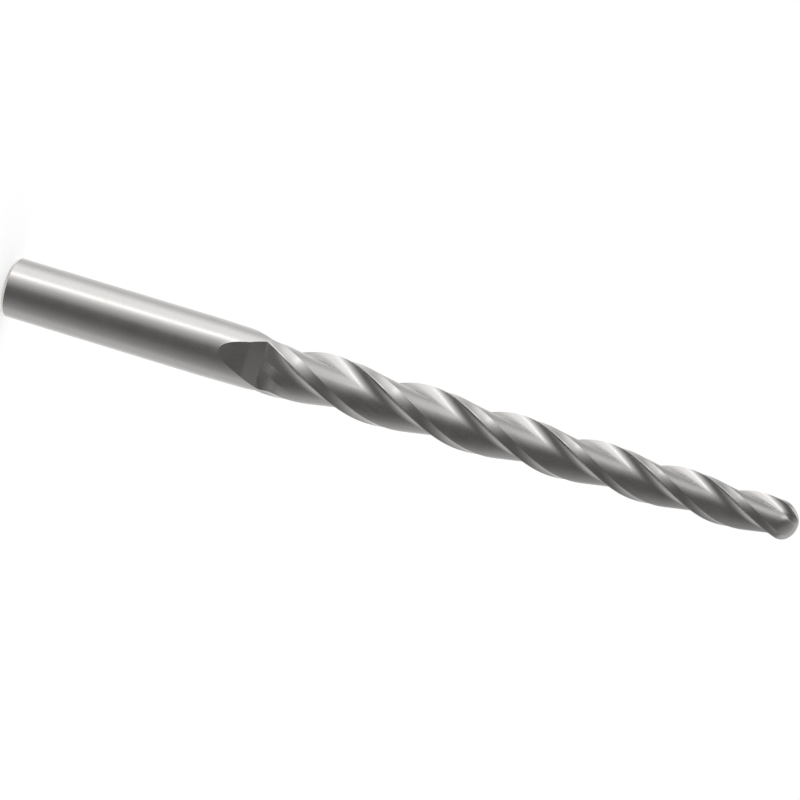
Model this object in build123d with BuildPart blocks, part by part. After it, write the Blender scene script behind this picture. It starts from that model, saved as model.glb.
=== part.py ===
from build123d import *

import os
from math import acos, asin, atan2, ceil, cos, degrees, exp, hypot, log, radians, sin, tan

# Tapered ball nose end mill: one ground rod standing on its shank end, ball up, in millimetres

# Driving sizes of the rod
overall_length = 80.0
shank_diameter = 6.0
shank_chamfer = 0.35
ball_radius = 2.0
taper_length = 57.3

# Driving sizes of the flutes
flute_count = 3
flute_length = 53.5
helix_angle = 30.0
land_width_angle = 26.0
land_relief_angle = 19.0
back_relief_angle = 18.5
back_width_angle = 60.0
edge_margin = 0.03

# Driving sizes of the flat that each flute runs out in
flat_width_angle = 106.0
flat_swing_angle = 9.0
steep_angle = 21.4
steep_length = 1.5
shallow_angle = 13.0

# How finely the helix is followed, and how far the form keeps outside the shank and the pole
turn_per_station = 12.0
growth_stations = 3
ball_stations = 6
form_clearance = 0.25
flat_hollow = 0.002
pole_opening = 0.01

# Heights and radii that follow from the driving sizes
shank_radius = shank_diameter / 2
ball_height = overall_length - ball_radius
taper_start_height = ball_height - taper_length
taper_angle = acos(ball_radius / hypot(shank_radius, taper_length)) - atan2(taper_length, shank_radius)
taper_slope = tan(taper_angle)
helix_slope = tan(radians(helix_angle))
ball_plane_radius = ball_radius / cos(taper_angle)
seam_radius = ball_radius * cos(taper_angle)
seam_height = ball_height + ball_radius * sin(taper_angle)
helix_start_height = overall_length - flute_length


def edge_radius(height):
    """Radius of the ground form's cutting edges on the taper."""
    return ball_plane_radius + (ball_height - height) * taper_slope + edge_margin


def edge_turn(height):
    """Turn of the cutting edge in degrees, nought where the taper meets the ball's centre."""
    taper_radius = ball_plane_radius + (ball_height - height) * taper_slope
    return degrees(helix_slope / taper_slope * log(ball_plane_radius / taper_radius))


def height_at_turn(turn):
    """Height at which the cutting edge on the taper has made a given turn."""
    taper_radius = ball_plane_radius * exp(-radians(turn) * taper_slope / helix_slope)
    return ball_height - (taper_radius - ball_plane_radius) / taper_slope


def polar_point(radius, bearing):
    """Point of a section at a radius and a bearing in degrees."""
    return Vector(radius * cos(radians(bearing)), radius * sin(radians(bearing)))


def flat_corners(distance, lead):
    """Corners of one tooth where it is still flats at a distance, sunk a hair between their two ends."""
    normal = lead - tooth_pitch_angle
    distances = (distance, distance - flat_hollow, distance - flat_hollow, distance)
    corners = [polar_point(distance / cos(radians(lead)), 0)]
    for bearing, reach in zip(flat_bearings, distances):
        corners.append(polar_point(reach / cos(radians(bearing - normal)), bearing))
    return corners


def ground_section(height, turn, corners, bowl_middle=None):
    """Closed outline of all teeth, straight between the corners but for the bowl's arc if there is one."""
    first_axis = polar_point(1, turn)
    with BuildSketch(Plane(origin=(0, 0, height), x_dir=first_axis, z_dir=(0, 0, 1))) as section:
        with BuildLine():
            for tooth in range(flute_count):
                bearing = -tooth * tooth_pitch_angle
                points = [corner.rotate(Axis.Z, bearing) for corner in corners]
                if bowl_middle is None:
                    Polyline(*points)
                else:
                    Polyline(*points[:-1])
                    ThreePointArc(points[-2], bowl_middle.rotate(Axis.Z, bearing), points[-1])
        make_face()
    return section.sketch


def tooth_section(height, radius, turn, bowl_growth=1.0):
    """Section of all teeth, the floor and the bowl grown by a share from the run-out's flat."""
    floor = flat_floor + (floor_corner - flat_floor) * bowl_growth
    bowl_middle = flat_middle + (tooth_middle - flat_middle) * bowl_growth
    corners = [edge_corner, heel_corner, middle_corner, floor, next_edge]
    scaled_corners = [corner * radius for corner in corners]
    return ground_section(height, turn, scaled_corners, bowl_middle * radius)


# Corners of the full tooth for a cutting edge at a radius of one: land, two flats of the back, and the bowl
tooth_pitch_angle = 360 / flute_count
heel_share = cos(radians(land_relief_angle)) / cos(radians(land_width_angle - land_relief_angle))
back_fall = tan(radians(back_relief_angle))
middle_bearing = -land_width_angle - back_width_angle / 2
floor_bearing = -land_width_angle - back_width_angle
edge_corner = polar_point(1, 0)
heel_corner = polar_point(heel_share, -land_width_angle)
middle_corner = polar_point(heel_share * exp(-back_fall * radians(back_width_angle) / 2), middle_bearing)
floor_corner = polar_point(heel_share * exp(-back_fall * radians(back_width_angle)), floor_bearing)
next_edge = polar_point(1, -tooth_pitch_angle)
with BuildLine() as tooth_bowl:
    TangentArc(floor_corner, next_edge, tangent=floor_corner - middle_corner)
tooth_middle = tooth_bowl.line @ 0.5

# The floor and the bowl's middle where they still lie in the flat that the flute begins as
flat_lead = flat_width_angle / 2
flat_bearings = [flat_width_angle - tooth_pitch_angle, middle_bearing, floor_bearing, -tooth_pitch_angle]
flat_distance = cos(radians(flat_lead))
flat_floor = flat_corners(flat_distance, flat_lead)[-2]
flat_middle = (flat_floor + next_edge) / 2

# Heights and distances of the flats: clear of the shank, a shallow slope, a knee, a steeper slope
helix_start_turn = edge_turn(helix_start_height)
top_distance = flat_distance * edge_radius(helix_start_height)
knee_height = helix_start_height - steep_length
knee_distance = top_distance + steep_length * tan(radians(steep_angle))
clear_distance = shank_radius + form_clearance
clear_height = knee_height - (clear_distance - knee_distance) / tan(radians(shallow_angle))
knee_swing = flat_swing_angle * steep_length / (helix_start_height - clear_height)
clear_corners = flat_corners(clear_distance, flat_lead - flat_swing_angle)
knee_corners = flat_corners(knee_distance, flat_lead - knee_swing)
start_corners = flat_corners(top_distance, flat_lead)
run_out_sections = [
    ground_section(-form_clearance, helix_start_turn, clear_corners),
    ground_section(clear_height, helix_start_turn, clear_corners),
    ground_section(knee_height, helix_start_turn, knee_corners),
    ground_section(helix_start_height, helix_start_turn, start_corners),
]

# Sections along the taper, evenly turned along the helix, the first few still growing out of the flats
taper_stations = ceil(-helix_start_turn / turn_per_station)
helix_sections = []
for station in range(1, taper_stations):
    turn = helix_start_turn * (taper_stations - station) / taper_stations
    height = height_at_turn(turn)
    bowl_growth = min(station / growth_stations, 1)
    section = tooth_section(height, edge_radius(height), turn, bowl_growth=bowl_growth)
    if station <= growth_stations:
        run_out_sections.append(section)
    if station >= growth_stations:
        helix_sections.append(section)

# Sections over the ball, where the cutting edges draw in towards the pole
form_ball_radius = ball_plane_radius + edge_margin
last_slant = asin((ball_radius + pole_opening) / form_ball_radius)
for station in range(ball_stations + 1):
    slant = last_slant * station / ball_stations
    rise = form_ball_radius * sin(slant)
    turn = degrees(helix_slope * rise / ball_plane_radius)
    helix_sections.append(tooth_section(ball_height + rise, form_ball_radius * cos(slant), turn))

# The ground form: the teeth along the helix, and below them the flats of the run-out
with BuildPart() as ground_form:
    loft(sections=helix_sections)
    loft(sections=run_out_sections, ruled=True)

# The round blank, ground to the taper and the ball, with only the ground form left of it
with BuildPart() as end_mill:
    with BuildSketch(Plane.XZ):
        with BuildLine():
            Polyline(
                (0, 0),
                (shank_radius - shank_chamfer, 0),
                (shank_radius, shank_chamfer),
                (shank_radius, taper_start_height),
                (seam_radius, seam_height),
            )
            RadiusArc((seam_radius, seam_height), (0, overall_length), -ball_radius)
            Line((0, overall_length), (0, 0))
        make_face()
    revolve(axis=Axis.Z)
    add(ground_form.part, mode=Mode.INTERSECT)

end_mill.part.label = "end_mill"

os.makedirs("parts", exist_ok=True)
export_step(end_mill.part, "parts/end_mill.step")
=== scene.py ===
"""Tapered ball nose end mill: the ground rod with its finish, and the plain studio around it."""
from math import acos, atan2, ceil, cos, exp, hypot, log, pi, radians, sin, sqrt, tan

import bmesh
import bpy
from bpy.props import FloatProperty, FloatVectorProperty, IntProperty, PointerProperty
from mathutils import Matrix, Vector


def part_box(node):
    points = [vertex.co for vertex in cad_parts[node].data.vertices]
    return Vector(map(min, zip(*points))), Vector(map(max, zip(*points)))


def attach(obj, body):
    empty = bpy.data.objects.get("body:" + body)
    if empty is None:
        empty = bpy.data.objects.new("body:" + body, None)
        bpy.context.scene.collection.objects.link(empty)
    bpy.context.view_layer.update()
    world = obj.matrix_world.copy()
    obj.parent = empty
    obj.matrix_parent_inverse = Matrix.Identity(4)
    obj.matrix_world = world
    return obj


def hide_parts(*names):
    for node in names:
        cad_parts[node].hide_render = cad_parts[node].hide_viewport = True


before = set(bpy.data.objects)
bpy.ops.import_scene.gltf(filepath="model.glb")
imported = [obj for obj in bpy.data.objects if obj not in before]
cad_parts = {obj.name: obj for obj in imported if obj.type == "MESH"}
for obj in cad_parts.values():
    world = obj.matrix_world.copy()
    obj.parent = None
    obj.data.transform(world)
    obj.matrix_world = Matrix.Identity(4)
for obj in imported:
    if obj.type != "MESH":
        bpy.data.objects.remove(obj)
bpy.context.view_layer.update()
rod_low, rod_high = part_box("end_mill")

bl_info = {
    "name": "Tapered Ball Nose End Mill",
    "version": (1, 0, 0),
    "blender": (4, 5, 0),
    "location": "View3D > Sidebar > End Mill",
    "description": "A ground end mill with helical flutes on a slow taper and a ball nose",
    "category": "Object",
}

# Places along a tooth's ground outline, from its cutting edge to the next one
EDGE, HEEL, MIDDLE, FLOOR, NEXT_EDGE = range(5)

# Columns of the mesh over one tooth: land, each half of the back, flute, and the round margin
LAND_COLUMNS, BACK_COLUMNS, BOWL_COLUMNS, MARGIN_COLUMNS = 6, 12, 24, 16

# Rows of the mesh over the shank, the bare taper, the shallow flat, the steep flat and the ball
SHANK_ROWS, TAPER_ROWS, FLAT_ROWS, STEEP_ROWS, BALL_ROWS = 12, 2, 40, 12, 36

# Material slots of the round blank and of the ground flutes
BLANK_SLOT, FLUTE_SLOT = 0, 1

# Edges that turn by more than this stay crisp
SHARP_ANGLE = radians(12)

# Corners closer than this become one, and edges shorter than this go
WELD_DISTANCE, LEAST_EDGE = 1e-6, 1e-7

# Rounds of the searches that halve their stretch, or take off a third of it
HALVINGS, THIRDINGS = 40, 60

# Bearings run down from this far past the cutting edge
BEARING_START = pi / 6

# Grinding tracks run in millimetres, so many to a metre, with a step for each column and tooth
MILLIMETRES, COLUMN_TRACK, TOOTH_TRACK = 1000, 0.08, 10

# Fineness of the noise in the grinding lines and in the clouds, and the range it seldom leaves
LINE_DETAIL, CLOUD_DETAIL = 4, 3
NOISE_LOW, NOISE_HIGH = 0.3, 0.7

# Nearest and furthest that the camera sees, as shares of its distance
NEAR_SHARE, FAR_SHARE = 0.1, 100

# Place where a ramp's stops are made before each goes to its own
SPARE_STOP = 0.5


class RodSizes(bpy.types.PropertyGroup):
    """Sizes of the rod, its taper and its flutes."""

    overall_length: FloatProperty(
        name="Overall Length",
        description="From the shank's flat end to the ball's pole",
        default=rod_high.z - rod_low.z,
        unit="LENGTH",
    )
    shank_diameter: FloatProperty(
        name="Shank Diameter",
        description="Diameter that the collet grips",
        default=0.006,
        unit="LENGTH",
    )
    shank_chamfer: FloatProperty(
        name="Shank Chamfer",
        description="Bevel round the shank's flat end",
        default=0.00035,
        unit="LENGTH",
    )
    ball_radius: FloatProperty(
        name="Ball Radius",
        description="Radius of the ball nose",
        default=0.002,
        unit="LENGTH",
    )
    taper_length: FloatProperty(
        name="Taper Length",
        description="From the taper's start on the shank to the ball's centre",
        default=0.0573,
        unit="LENGTH",
    )
    flute_count: IntProperty(name="Flutes", description="Number of cutting edges", default=3, min=2)
    helix_angle: FloatProperty(
        name="Helix Angle",
        description="Angle of the cutting edges to the axis, the same all along the taper",
        default=radians(30.0),
        subtype="ANGLE",
    )
    land_width: FloatProperty(
        name="Land Width",
        description="Turn about the axis that the flat land takes behind its edge",
        default=radians(26.0),
        subtype="ANGLE",
    )
    land_relief: FloatProperty(
        name="Land Relief",
        description="Fall of the flat land behind its edge",
        default=radians(19.0),
        subtype="ANGLE",
    )
    back_width: FloatProperty(
        name="Back Width",
        description="Turn about the axis that the bowed back takes",
        default=radians(60.0),
        subtype="ANGLE",
    )
    back_relief: FloatProperty(
        name="Back Relief",
        description="Fall of the bowed back towards the flute's floor",
        default=radians(18.5),
        subtype="ANGLE",
    )
    flute_length: FloatProperty(
        name="Flute Length",
        description="Length of the flutes at full depth, from the ball's pole",
        default=0.0535,
        unit="LENGTH",
    )
    back_growth: FloatProperty(
        name="Back Growth",
        description="Length over which the back rises from the run-out's flat",
        default=0.0017,
        unit="LENGTH",
    )
    bow_growth: FloatProperty(
        name="Bow Growth",
        description="Length over which the back bows and the flute hollows out of the flat",
        default=0.0035,
        unit="LENGTH",
    )
    flat_width: FloatProperty(
        name="Flat Width",
        description="Turn about the axis that the flat takes where the cutting edge begins",
        default=radians(106.0),
        subtype="ANGLE",
    )
    flat_swing: FloatProperty(
        name="Flat Swing",
        description="How far the flat swings back towards its cutting edge on the way out",
        default=radians(9.0),
        subtype="ANGLE",
    )
    steep_angle: FloatProperty(
        name="Steep Run-out Angle",
        description="Slope of the flat beside the flute",
        default=radians(21.4),
        subtype="ANGLE",
    )
    steep_length: FloatProperty(
        name="Steep Run-out Length",
        description="Length of the steep stretch of the flat",
        default=0.0015,
        unit="LENGTH",
    )
    shallow_angle: FloatProperty(
        name="Shallow Run-out Angle",
        description="Slope of the flat where it leaves the shank",
        default=radians(13.0),
        subtype="ANGLE",
    )
    edge_margin: FloatProperty(
        name="Edge Margin",
        description="Depth of the round margin left at each cutting edge",
        default=0.00003,
        unit="LENGTH",
    )
    form_clearance: FloatProperty(
        name="Form Clearance",
        description="How far outside the shank the run-out's flats begin",
        default=0.00025,
        unit="LENGTH",
    )
    row_step: FloatProperty(
        name="Row Step",
        description="Height between two rows of the mesh",
        default=0.00015,
        unit="LENGTH",
    )


class GroundFinish(bpy.types.PropertyGroup):
    """Look of ground tungsten carbide."""

    colour: FloatVectorProperty(
        name="Carbide",
        description="Colour of the ground metal",
        subtype="COLOR",
        default=(0.57, 0.556, 0.545),
    )
    shank_roughness: FloatProperty(
        name="Shank Roughness",
        description="Finish of the round shank",
        default=0.25,
    )
    flute_roughness: FloatProperty(
        name="Flute Roughness",
        description="Finish of the ground flutes",
        default=0.28,
    )
    roughness_swing: FloatProperty(
        name="Roughness Swing",
        description="How far the roughness strays either way along the grinding lines",
        default=0.06,
    )
    shank_lines: FloatVectorProperty(
        name="Shank Lines",
        description="Grinding lines to a millimetre along the shank and round it",
        size=2,
        default=(6.0, 0.4),
    )
    flute_lines: FloatVectorProperty(
        name="Flute Lines",
        description="Grinding lines to a millimetre along the flutes and across them",
        size=2,
        default=(0.2, 7.0),
    )
    line_depth: FloatProperty(
        name="Line Depth",
        description="Depth of the grinding lines",
        default=0.0000015,
        unit="LENGTH",
    )
    cloud_scale: FloatProperty(
        name="Cloud Scale",
        description="Clouds to a metre in the polish",
        default=450.0,
    )
    cloud_depth: FloatProperty(
        name="Cloud Depth",
        description="How far the metal's tone strays either way in the clouds",
        default=0.06,
    )


class StudioSet(bpy.types.PropertyGroup):
    """Floor, light and camera."""

    floor_colour: FloatVectorProperty(
        name="Floor",
        description="Colour of the plain floor",
        subtype="COLOR",
        default=(0.9, 0.9, 0.9),
    )
    floor_glow: FloatProperty(
        name="Floor Glow",
        description="Glow that makes the floor as white as the backdrop where no shadow falls",
        default=0.56,
    )
    floor_half: FloatProperty(
        name="Floor Half",
        description="From the rod's axis to each side of the floor",
        default=3.0,
        unit="LENGTH",
    )
    floor_drop: FloatProperty(
        name="Floor Drop",
        description="Gap between the shank's flat end and the floor",
        default=0.00005,
        unit="LENGTH",
    )
    ball_lean: FloatProperty(
        name="Ball Lean",
        description="How far the walls lean over for each step towards the ball end",
        default=0.85,
    )
    shank_lean: FloatProperty(
        name="Shank Lean",
        description="How far the walls lean over for each step towards the shank end",
        default=0.3,
    )
    lean_start: FloatProperty(
        name="Lean Start",
        description="Rise towards the ball end between the two leans",
        default=-0.12,
    )
    camera_turn: FloatProperty(
        name="Camera Turn",
        description="Direction of the camera about the rod's axis",
        default=radians(62.9),
        subtype="ANGLE",
    )
    camera_rise: FloatProperty(
        name="Camera Rise",
        description="How far the camera looks at the rod from its ball end",
        default=radians(6.65),
        subtype="ANGLE",
    )
    camera_roll: FloatProperty(
        name="Camera Roll",
        description="Fall of the rod across the picture",
        default=radians(16.9),
        subtype="ANGLE",
    )
    camera_distance: FloatProperty(
        name="Camera Distance",
        description="From the aim to the camera",
        default=0.2149,
        unit="LENGTH",
    )
    aim_height: FloatProperty(
        name="Aim Height",
        description="Height on the rod that the camera looks at",
        default=0.04024,
        unit="LENGTH",
    )
    aim_side: FloatProperty(
        name="Aim Side",
        description="How far the aim lies from the rod's axis",
        default=0.00042,
        unit="LENGTH",
    )
    lens: FloatProperty(name="Lens", description="Focal length in millimetres", default=100.0)


class GroundForm:
    """The rod's form, worked out from its sizes."""

    def __init__(self, sizes):
        self.sizes = sizes
        self.shank_radius = sizes.shank_diameter / 2
        taper = acos(sizes.ball_radius / hypot(self.shank_radius, sizes.taper_length))
        taper -= atan2(sizes.taper_length, self.shank_radius)
        self.slope = tan(taper)
        self.helix_slope = tan(sizes.helix_angle)
        self.ball_height = sizes.overall_length - sizes.ball_radius
        self.ball_plane_radius = sizes.ball_radius / cos(taper)
        self.seam_height = self.ball_height + sizes.ball_radius * sin(taper)
        self.taper_start = self.ball_height - sizes.taper_length
        self.pitch = 2 * pi / sizes.flute_count
        self.shape_tooth()
        self.shape_run_out()

    def shape_tooth(self):
        """Corners of one tooth for an edge at a radius of one, full and laid onto the flat."""
        s = self.sizes
        heel_share = cos(s.land_relief) / cos(s.land_width - s.land_relief)
        fall = tan(s.back_relief)
        self.corners = [
            polar(1, 0),
            polar(heel_share, -s.land_width),
            polar(heel_share * exp(-fall * s.back_width / 2), -s.land_width - s.back_width / 2),
            polar(heel_share * exp(-fall * s.back_width), -s.land_width - s.back_width),
            polar(1, -self.pitch),
        ]
        heel, middle, floor = self.corners[HEEL:NEXT_EDGE]
        self.back = Arc.through(heel, middle, floor)
        centre = self.back.centre
        self.middle_share = turned(heel - centre, middle - centre) / self.back.sweep
        self.bowl = Arc.tangent(floor, self.back.heading(1), self.corners[NEXT_EDGE])
        lead = s.flat_width / 2
        self.flat_bearings = [0, s.flat_width - self.pitch]
        self.flat_bearings += [bearing(corner) for corner in self.corners[MIDDLE:]]
        self.flat_corners = [corner * cos(lead) for corner in self.flat_outline(lead)]

    def flat_outline(self, lead):
        """Corners for a flat at a distance of one whose normal leads the edge."""
        bearings = self.flat_bearings
        normals = [lead] + [lead - self.pitch] * (len(bearings) - 1)
        return [polar(1 / cos(angle - normal), angle) for angle, normal in zip(bearings, normals)]

    def shape_run_out(self):
        """Heights and corners of the flat that slopes out of the rod below the helix."""
        s = self.sizes
        self.helix_start = s.overall_length - s.flute_length
        self.knee = self.helix_start - s.steep_length
        lead = s.flat_width / 2
        top = self.fluted_radius(self.helix_start)
        knee_distance = cos(lead) * top + s.steep_length * tan(s.steep_angle)
        clear_distance = self.shank_radius + s.form_clearance
        self.clear_height = self.knee - (clear_distance - knee_distance) / tan(s.shallow_angle)
        swing = s.flat_swing * (s.steep_length / (self.helix_start - self.clear_height))
        low_corners = self.flat_outline(lead - s.flat_swing)
        knee_corners = self.flat_outline(lead - swing)
        self.low_corners = [corner * clear_distance for corner in low_corners]
        self.knee_corners = [corner * knee_distance for corner in knee_corners]
        self.top_corners = [corner * top for corner in self.flat_corners]
        self.back_stretch = (self.helix_start, self.helix_start + s.back_growth)
        self.bow_stretch = (self.helix_start, self.helix_start + s.bow_growth)
        self.flute_start = crossing(self.flat_clearance, self.clear_height, self.knee)

    def flat_clearance(self, height):
        """How far the flat still lies outside the blank."""
        return self.outline(height, self.deepest(height)).length - self.blank_radius(height)

    def deepest(self, height):
        """Place where the outline comes nearest to the axis."""
        return lowest(lambda place: self.outline(height, place).length, HEEL, NEXT_EDGE)

    def growth(self, stretch, height):
        """Share that has grown at a height within a stretch of the rod."""
        start, end = stretch
        return eased((height - start) / (end - start))

    def corner(self, index, height):
        """A corner of the tooth at a height: on the sloping flat, growing out of it, then full."""
        radius = self.fluted_radius(height)
        if height < self.knee:
            rise = max(0, (height - self.clear_height) / (self.knee - self.clear_height))
            flat = self.low_corners[index].lerp(self.knee_corners[index], rise)
        elif height < self.helix_start:
            rise = (height - self.knee) / (self.helix_start - self.knee)
            flat = self.knee_corners[index].lerp(self.top_corners[index], rise)
        else:
            flat = self.flat_corners[index] * radius
        return flat.lerp(self.corners[index] * radius, self.growth(self.back_stretch, height))

    def bow(self, span, share):
        """How far the full tooth's outline bows from the straight line between two corners."""
        if span == EDGE:
            return Vector((0, 0))
        if span == HEEL:
            point = self.back.point(share * self.middle_share)
        elif span == MIDDLE:
            point = self.back.point(self.middle_share + share * (1 - self.middle_share))
        else:
            point = self.bowl.point(share)
        return point - self.corners[span].lerp(self.corners[span + 1], share)

    def outline(self, height, place):
        """Ground outline before the blank trims it: land, bowed back, then the flute's bowl."""
        span = min(int(place), FLOOR)
        share = place - span
        straight = self.corner(span, height).lerp(self.corner(span + 1, height), share)
        bow = self.bow(span, share) * self.fluted_radius(height)
        return straight + bow * self.growth(self.bow_stretch, height)

    def taper_radius(self, height):
        """Radius of the taper at a height, carried on past its ends."""
        return self.ball_plane_radius + (self.ball_height - height) * self.slope

    def blank_radius(self, height):
        """Radius of the round blank before the flutes are ground."""
        if height > self.seam_height:
            return sqrt(max(self.sizes.ball_radius**2 - (height - self.ball_height) ** 2, 0))
        return min(self.shank_radius, self.taper_radius(height))

    def fluted_radius(self, height):
        """Radius of the cutting edges of the fluted section, before the blank trims them."""
        margin = self.sizes.edge_margin
        if height > self.ball_height:
            return sqrt((self.ball_plane_radius + margin) ** 2 - (height - self.ball_height) ** 2)
        return self.taper_radius(height) + margin

    def turn(self, height):
        """Turn of the cutting edge, nought where the taper meets the ball's centre."""
        if height > self.ball_height:
            return self.helix_slope * (height - self.ball_height) / self.ball_plane_radius
        radius = self.taper_radius(max(height, self.helix_start))
        return self.helix_slope / self.slope * log(self.ball_plane_radius / radius)

    def trim(self, height):
        """Places where the outline goes into the round blank and comes out again."""
        blank = self.blank_radius(height)

        def clearance(place):
            return self.outline(height, place).length - blank

        deepest = self.deepest(height)
        if clearance(deepest) >= 0:
            return deepest, deepest
        fall = crossing(clearance, EDGE, deepest)
        rise = crossing(lambda place: -clearance(place), deepest, NEXT_EDGE)
        return fall, rise


class Arc:
    """A circular arc in the section's plane."""

    def __init__(self, centre, start, sweep):
        self.centre, self.start, self.sweep = centre, start, sweep

    def point(self, share):
        """Point at a share of the arc."""
        return self.centre + Matrix.Rotation(self.sweep * share, 2) @ (self.start - self.centre)

    def heading(self, share):
        """Direction of travel at a share of the arc."""
        spoke = self.point(share) - self.centre
        side = 1 if self.sweep > 0 else -1
        return Vector((-spoke.y, spoke.x)).normalized() * side

    @classmethod
    def through(cls, first, middle, last):
        """Arc through three points."""
        a, b = middle - first, last - first
        a_square, b_square = a.length_squared, b.length_squared
        cross = 2 * (a.x * b.y - a.y * b.x)
        offset = Vector((b.y * a_square - a.y * b_square, a.x * b_square - b.x * a_square))
        centre = first + offset / cross
        spokes = [point - centre for point in (first, middle, last)]
        return cls(centre, first, turned(spokes[0], spokes[1]) + turned(spokes[1], spokes[2]))

    @classmethod
    def tangent(cls, first, heading, last):
        """Arc that leaves a point along a heading and ends at another point."""
        chord = last - first
        normal = Vector((-heading.y, heading.x))
        if normal.dot(chord) < 0:
            normal.negate()
        centre = first + normal * chord.length_squared / (2 * chord.dot(normal))
        return cls(centre, first, turned(first - centre, last - centre))


def turned(first, second):
    """Signed angle from one direction to another."""
    return atan2(first.x * second.y - first.y * second.x, first.dot(second))


def polar(radius, angle):
    """Point at a radius and an angle."""
    return Vector((radius * cos(angle), radius * sin(angle)))


def bearing(point):
    """Angle of a point of the tooth's outline, from nought at the edge down to the next edge."""
    return -((-atan2(point.y, point.x) + BEARING_START) % (2 * pi) - BEARING_START)


def crossing(value, low, high):
    """Place between two others where a value that starts above nought reaches it."""
    for _ in range(HALVINGS):
        middle = (low + high) / 2
        if value(middle) > 0:
            low = middle
        else:
            high = middle
    return (low + high) / 2


def lowest(value, low, high):
    """Place where a value with one dip is least."""
    for _ in range(THIRDINGS):
        first, second = low + (high - low) / 3, high - (high - low) / 3
        if value(first) < value(second):
            high = second
        else:
            low = first
    return (low + high) / 2


def eased(share):
    """Share that starts and ends gently, held to nought before and one after."""
    share = min(max(share, 0), 1)
    return share * share * (3 - 2 * share)


def spread(start, end, count):
    """Evenly spaced values between two, both ends among them."""
    return [start + (end - start) * step / count for step in range(count + 1)]


def ring(form, height, radius=None):
    """Corners round the rod at a height, each with its place along the section, flutes first."""
    places = spread(EDGE, HEEL, LAND_COLUMNS)
    places += spread(HEEL, MIDDLE, BACK_COLUMNS)[1:]
    places += spread(MIDDLE, FLOOR, BACK_COLUMNS)[1:]
    places += spread(FLOOR, NEXT_EDGE, BOWL_COLUMNS)[1:]
    blank = form.blank_radius(height) if radius is None else radius
    low = max(height, form.flute_start)
    fall, rise = form.trim(low)
    section = [form.outline(low, min(max(place, fall), rise)) for place in places]
    if fall == rise:
        section = [corner.normalized() * blank for corner in section]
    start, end = bearing(section[-1]) + form.pitch, bearing(section[0])
    corners = []
    for tooth in range(form.sizes.flute_count):
        swing = Matrix.Rotation(form.turn(height) - tooth * form.pitch, 2)
        for angle in spread(start, end, MARGIN_COLUMNS)[1:-1]:
            corners.append(swing @ polar(blank, angle))
        corners += [swing @ corner for corner in section]
    return [Vector((corner.x, corner.y, height)) for corner in corners]


def row_heights(form):
    """Heights of the rows from the chamfer to just below the pole, denser at the flat's tip."""
    sizes = form.sizes
    heights = spread(sizes.shank_chamfer, form.taper_start, SHANK_ROWS)
    heights += spread(form.taper_start, form.flute_start, TAPER_ROWS)[1:]
    for share in spread(0, 1, FLAT_ROWS)[1:]:
        heights.append(form.flute_start + (form.knee - form.flute_start) * share**2)
    heights += spread(form.knee, form.helix_start, STEEP_ROWS)[1:]
    rows = ceil((form.ball_height - form.helix_start) / sizes.row_step)
    heights += spread(form.helix_start, form.ball_height, rows)[1:]
    for slant in spread(0, pi / 2, BALL_ROWS)[1:-1]:
        heights.append(form.ball_height + sizes.ball_radius * sin(slant))
    return heights


def rod_mesh(form):
    """Mesh of the rod, row by row, closed by a fan at each end."""
    mesh = bpy.data.meshes.new("ground_rod")
    body = bmesh.new()
    tracks = body.loops.layers.uv.new("grinding")
    sizes = form.sizes
    heights = row_heights(form)
    foot = ring(form, 0, form.shank_radius - sizes.shank_chamfer)
    rows = [foot] + [ring(form, height) for height in heights]
    heights = [0] + heights
    count = len(foot)
    tooth_columns = count // sizes.flute_count
    verts = [[body.verts.new(corner) for corner in row] for row in rows]
    for low in range(len(rows) - 1):
        for column in range(count):
            after = (column + 1) % count
            near, far = verts[low], verts[low + 1]
            face = body.faces.new((near[after], near[column], far[column], far[after]))
            tooth, place = divmod(column, tooth_columns)
            fluted = MARGIN_COLUMNS - 1 <= place < tooth_columns - 1
            face.material_index = FLUTE_SLOT if fluted else BLANK_SLOT
            face.smooth = True
            spots = ((low, place + 1), (low, place), (low + 1, place), (low + 1, place + 1))
            for loop, (row, step) in zip(face.loops, spots):
                across = step * COLUMN_TRACK + tooth * TOOTH_TRACK
                loop[tracks].uv = (heights[row] * MILLIMETRES, across)
    for row, height, flip in ((verts[0], 0, False), (verts[-1], sizes.overall_length, True)):
        hub = body.verts.new((0, 0, height))
        for column in range(count):
            after = (column + 1) % count
            pair = (row[after], row[column]) if flip else (row[column], row[after])
            body.faces.new((*pair, hub)).smooth = True
    bmesh.ops.remove_doubles(body, verts=body.verts, dist=WELD_DISTANCE)
    bmesh.ops.dissolve_degenerate(body, edges=body.edges, dist=LEAST_EDGE)
    bmesh.ops.recalc_face_normals(body, faces=body.faces)
    for edge in body.edges:
        edge.smooth = len(edge.link_faces) == 2 and edge.calc_face_angle() < SHARP_ANGLE
    body.to_mesh(mesh)
    body.free()
    return mesh


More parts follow.
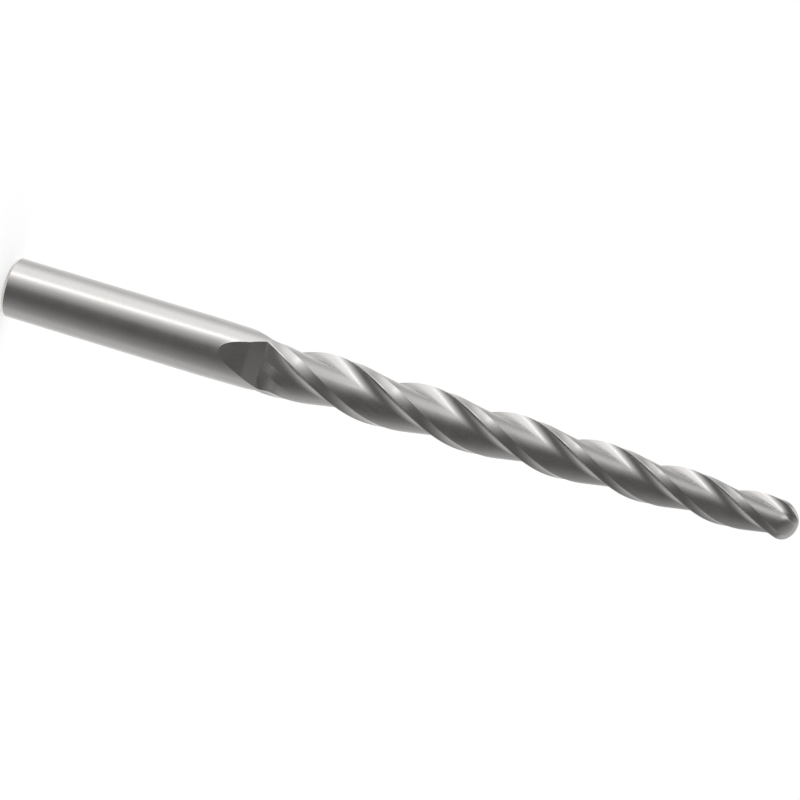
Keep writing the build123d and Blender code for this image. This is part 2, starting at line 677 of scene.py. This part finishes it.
def carbide(name, finish, roughness, lines):
    """Ground carbide with grinding lines, so many to a millimetre along the rod and across it."""
    material = bpy.data.materials.new(name)
    material.use_nodes = True
    nodes, links = material.node_tree.nodes, material.node_tree.links
    shader = nodes["Principled BSDF"]
    shader.inputs["Metallic"].default_value = 1
    tracks = nodes.new("ShaderNodeUVMap")
    tracks.uv_map = "grinding"
    stretch = nodes.new("ShaderNodeMapping")
    stretch.inputs["Scale"].default_value = (*lines, 1)
    links.new(tracks.outputs[0], stretch.inputs["Vector"])
    ground = nodes.new("ShaderNodeTexNoise")
    ground.inputs["Scale"].default_value = 1
    ground.inputs["Detail"].default_value = LINE_DETAIL
    links.new(stretch.outputs[0], ground.inputs["Vector"])
    place = nodes.new("ShaderNodeTexCoord")
    clouds = nodes.new("ShaderNodeTexNoise")
    clouds.inputs["Scale"].default_value = finish.cloud_scale
    clouds.inputs["Detail"].default_value = CLOUD_DETAIL
    links.new(place.outputs["Object"], clouds.inputs["Vector"])
    tone = nodes.new("ShaderNodeMix")
    tone.data_type = "RGBA"
    for end, depth in (("A", 1 - finish.cloud_depth), ("B", 1 + finish.cloud_depth)):
        tone.inputs[end].default_value = (*(part * depth for part in finish.colour), 1)
    links.new(clouds.outputs["Fac"], tone.inputs["Factor"])
    links.new(tone.outputs["Result"], shader.inputs["Base Color"])
    both = nodes.new("ShaderNodeMix")
    links.new(ground.outputs["Fac"], both.inputs["A"])
    links.new(clouds.outputs["Fac"], both.inputs["B"])
    polish = nodes.new("ShaderNodeMapRange")
    polish.inputs["From Min"].default_value = NOISE_LOW
    polish.inputs["From Max"].default_value = NOISE_HIGH
    polish.inputs["To Min"].default_value = roughness - finish.roughness_swing
    polish.inputs["To Max"].default_value = roughness + finish.roughness_swing
    links.new(both.outputs["Result"], polish.inputs["Value"])
    links.new(polish.outputs[0], shader.inputs["Roughness"])
    relief = nodes.new("ShaderNodeBump")
    relief.inputs["Distance"].default_value = finish.line_depth
    links.new(ground.outputs["Fac"], relief.inputs["Height"])
    links.new(relief.outputs[0], shader.inputs["Normal"])
    return material


class ENDMILL_OT_rod(bpy.types.Operator):
    """Make the ground rod with its flutes and ball nose"""

    bl_idname = "endmill.rod"
    bl_label = "Ground Rod"

    def execute(self, context):
        sizes, finish = context.scene.endmill_sizes, context.scene.endmill_finish
        form = GroundForm(sizes)
        mesh = rod_mesh(form)
        for name, roughness, lines in (
            ("ground_shank", finish.shank_roughness, finish.shank_lines),
            ("ground_flute", finish.flute_roughness, finish.flute_lines),
        ):
            mesh.materials.append(carbide(name, finish, roughness, lines))
        rod = bpy.data.objects.new("ground_rod", mesh)
        context.scene.collection.objects.link(rod)
        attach(rod, "root")
        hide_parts("end_mill")
        return {"FINISHED"}


def floor_material(studio):
    """Plain floor, white to the camera away from the rod's shadow and unseen in the metal."""
    material = bpy.data.materials.new("pale_floor")
    material.use_nodes = True
    nodes, links = material.node_tree.nodes, material.node_tree.links
    nodes.clear()
    out = nodes.new("ShaderNodeOutputMaterial")
    diffuse = nodes.new("ShaderNodeBsdfDiffuse")
    diffuse.inputs["Color"].default_value = (*studio.floor_colour, 1)
    glow = nodes.new("ShaderNodeEmission")
    glow.inputs["Strength"].default_value = studio.floor_glow
    lift = nodes.new("ShaderNodeAddShader")
    clear = nodes.new("ShaderNodeBsdfTransparent")
    path = nodes.new("ShaderNodeLightPath")
    pick = nodes.new("ShaderNodeMixShader")
    links.new(diffuse.outputs[0], lift.inputs[0])
    links.new(glow.outputs[0], lift.inputs[1])
    links.new(path.outputs["Is Glossy Ray"], pick.inputs["Fac"])
    links.new(lift.outputs[0], pick.inputs[1])
    links.new(clear.outputs[0], pick.inputs[2])
    links.new(pick.outputs[0], out.inputs["Surface"])
    return material


# Brightness of the studio's walls by their direction, from behind the rod all the way round
WALL_STOPS = (
    (0.0, 1.0),
    (0.04, 1.05),
    (0.089, 1.0),
    (0.156, 0.78),
    (0.19, 0.82),
    (0.26, 1.4),
    (0.335, 1.4),
    (0.355, 2.8),
    (0.375, 1.3),
    (0.422, 0.72),
    (0.456, 0.48),
    (0.495, 0.17),
    (0.56, 0.125),
    (0.6, 0.15),
    (0.68, 0.3),
    (0.73, 0.42),
    (0.78, 0.66),
    (0.87, 0.72),
    (0.93, 0.95),
    (1.0, 1.0),
)

# Brightness of the walls in the band towards the ball that the teeth's backs mirror
BAND_STOPS = (
    (0.0, 0.47),
    (0.1, 0.45),
    (0.16, 0.4),
    (0.22, 0.56),
    (0.28, 0.72),
    (0.33, 0.68),
    (0.38, 0.42),
    (0.45, 0.27),
    (0.51, 0.12),
    (0.58, 0.11),
    (0.64, 0.08),
    (0.7, 0.14),
    (0.76, 0.25),
    (0.84, 0.32),
    (1.0, 0.45),
)

# How far the band takes over from the walls, by the rise from the shank's side to the ball's
BAND_REACH = (
    (0.46, 0.0),
    (0.61, 1.0),
    (0.67, 1.0),
    (0.73, 0.0),
)


def level_ramp(nodes, places, peak=1):
    """Ramp between brightness levels, all divided by the peak."""
    ramp = nodes.new("ShaderNodeValToRGB")
    stops = ramp.color_ramp.elements
    while len(stops) < len(places):
        stops.new(SPARE_STOP)
    for stop, (position, level) in zip(stops, places):
        stop.position = position
        stop.color = (level / peak, level / peak, level / peak, 1)
    return ramp


def studio_world(studio):
    """Plain walls round the rod: pale behind it, dim on the camera's side, white to the camera."""
    world = bpy.data.worlds.new("studio_walls")
    world.use_nodes = True
    nodes, links = world.node_tree.nodes, world.node_tree.links
    nodes.clear()
    out = nodes.new("ShaderNodeOutputWorld")
    place = nodes.new("ShaderNodeTexCoord")
    split = nodes.new("ShaderNodeSeparateXYZ")
    swing = nodes.new("ShaderNodeVectorRotate")
    swing.rotation_type = "Z_AXIS"
    swing.inputs["Angle"].default_value = -studio.camera_turn
    rise = nodes.new("ShaderNodeMath")
    rise.operation = "SUBTRACT"
    rise.inputs[1].default_value = studio.lean_start
    leans = []
    for side, lean in (("MAXIMUM", studio.ball_lean), ("MINIMUM", studio.shank_lean)):
        held = nodes.new("ShaderNodeMath")
        held.operation = side
        held.inputs[1].default_value = 0
        step = nodes.new("ShaderNodeMath")
        step.operation = "MULTIPLY_ADD"
        step.inputs[1].default_value = lean
        links.new(rise.outputs[0], held.inputs[0])
        links.new(held.outputs[0], step.inputs[0])
        leans.append(step)
    angle = nodes.new("ShaderNodeMath")
    angle.operation = "ARCTAN2"
    span = nodes.new("ShaderNodeMapRange")
    span.inputs["From Min"].default_value = -pi
    span.inputs["From Max"].default_value = pi
    peak = max(level for _, level in WALL_STOPS)
    ramp = level_ramp(nodes, WALL_STOPS, peak)
    band = level_ramp(nodes, BAND_STOPS, peak)
    reach = nodes.new("ShaderNodeMapRange")
    reach.inputs["From Min"].default_value = -1
    share = level_ramp(nodes, BAND_REACH)
    lit = nodes.new("ShaderNodeMix")
    lit.data_type = "RGBA"
    walls = nodes.new("ShaderNodeBackground")
    walls.inputs["Strength"].default_value = peak
    white = nodes.new("ShaderNodeBackground")
    white.inputs["Color"].default_value = (1, 1, 1, 1)
    path = nodes.new("ShaderNodeLightPath")
    pick = nodes.new("ShaderNodeMixShader")
    links.new(place.outputs["Generated"], swing.inputs["Vector"])
    links.new(swing.outputs[0], split.inputs[0])
    links.new(split.outputs["Z"], rise.inputs[0])
    links.new(split.outputs["Y"], leans[0].inputs[2])
    links.new(leans[0].outputs[0], leans[1].inputs[2])
    links.new(leans[1].outputs[0], angle.inputs[0])
    links.new(split.outputs["X"], angle.inputs[1])
    links.new(angle.outputs[0], span.inputs["Value"])
    links.new(span.outputs[0], ramp.inputs[0])
    links.new(span.outputs[0], band.inputs[0])
    links.new(split.outputs["Z"], reach.inputs["Value"])
    links.new(reach.outputs[0], share.inputs[0])
    links.new(share.outputs["Color"], lit.inputs["Factor"])
    links.new(ramp.outputs["Color"], lit.inputs["A"])
    links.new(band.outputs["Color"], lit.inputs["B"])
    links.new(lit.outputs["Result"], walls.inputs["Color"])
    links.new(path.outputs["Is Camera Ray"], pick.inputs["Fac"])
    links.new(walls.outputs[0], pick.inputs[1])
    links.new(white.outputs[0], pick.inputs[2])
    links.new(pick.outputs[0], out.inputs["Surface"])
    return world


def place_camera(scene, studio):
    """Camera beside the rod, rolled so that the rod falls across the picture."""
    turn, rise = studio.camera_turn, studio.camera_rise
    toward = Vector((cos(rise) * cos(turn), cos(rise) * sin(turn), sin(rise)))
    along = Vector((-sin(rise) * cos(turn), -sin(rise) * sin(turn), cos(rise)))
    across = toward.cross(along)
    roll = Matrix.Rotation(studio.camera_roll, 3, "Z")
    axes = Matrix((along, across, toward)).transposed() @ roll
    aim = Vector((0, 0, studio.aim_height)) + across * studio.aim_side
    data = bpy.data.cameras.new("camera")
    data.lens = studio.lens
    data.clip_start = studio.camera_distance * NEAR_SHARE
    data.clip_end = studio.camera_distance * FAR_SHARE
    camera = bpy.data.objects.new("camera", data)
    camera.matrix_world = Matrix.Translation(aim + toward * studio.camera_distance) @ axes.to_4x4()
    scene.collection.objects.link(camera)
    scene.camera = camera


class ENDMILL_OT_studio(bpy.types.Operator):
    """Set the floor, the light and the camera"""

    bl_idname = "endmill.studio"
    bl_label = "Studio"

    def execute(self, context):
        scene, studio = context.scene, context.scene.endmill_studio
        mesh = bpy.data.meshes.new("floor")
        half, level = studio.floor_half, -studio.floor_drop
        sides = ((-half, -half), (half, -half), (half, half), (-half, half))
        mesh.from_pydata([(x, y, level) for x, y in sides], [], [(0, 1, 2, 3)])
        mesh.materials.append(floor_material(studio))
        floor = bpy.data.objects.new("floor", mesh)
        scene.collection.objects.link(floor)
        scene.world = studio_world(studio)
        scene.view_settings.view_transform = "Standard"
        place_camera(scene, studio)
        return {"FINISHED"}


class ENDMILL_PT_panel(bpy.types.Panel):
    """Sizes, finish and studio of the end mill"""

    bl_label = "End Mill"
    bl_idname = "ENDMILL_PT_panel"
    bl_space_type = "VIEW_3D"
    bl_region_type = "UI"
    bl_category = "End Mill"

    def draw(self, context):
        scene = context.scene
        for group, operator in (
            ("endmill_sizes", "endmill.rod"),
            ("endmill_finish", None),
            ("endmill_studio", "endmill.studio"),
        ):
            box = self.layout.box()
            settings = getattr(scene, group)
            for name in settings.__annotations__:
                box.prop(settings, name)
            if operator:
                box.operator(operator)


CLASSES = (RodSizes, GroundFinish, StudioSet, ENDMILL_OT_rod, ENDMILL_OT_studio, ENDMILL_PT_panel)


def register():
    """Make the classes and the three groups of settings known to Blender."""
    for cls in CLASSES:
        bpy.utils.register_class(cls)
    bpy.types.Scene.endmill_sizes = PointerProperty(type=RodSizes)
    bpy.types.Scene.endmill_finish = PointerProperty(type=GroundFinish)
    bpy.types.Scene.endmill_studio = PointerProperty(type=StudioSet)


def unregister():
    """Take the settings and the classes out of Blender again."""
    del bpy.types.Scene.endmill_studio
    del bpy.types.Scene.endmill_finish
    del bpy.types.Scene.endmill_sizes
    for cls in reversed(CLASSES):
        bpy.utils.unregister_class(cls)


def main():
    """Make every piece and the studio."""
    register()
    bpy.ops.endmill.rod()
    bpy.ops.endmill.studio()


if __name__ == "__main__":
    main()
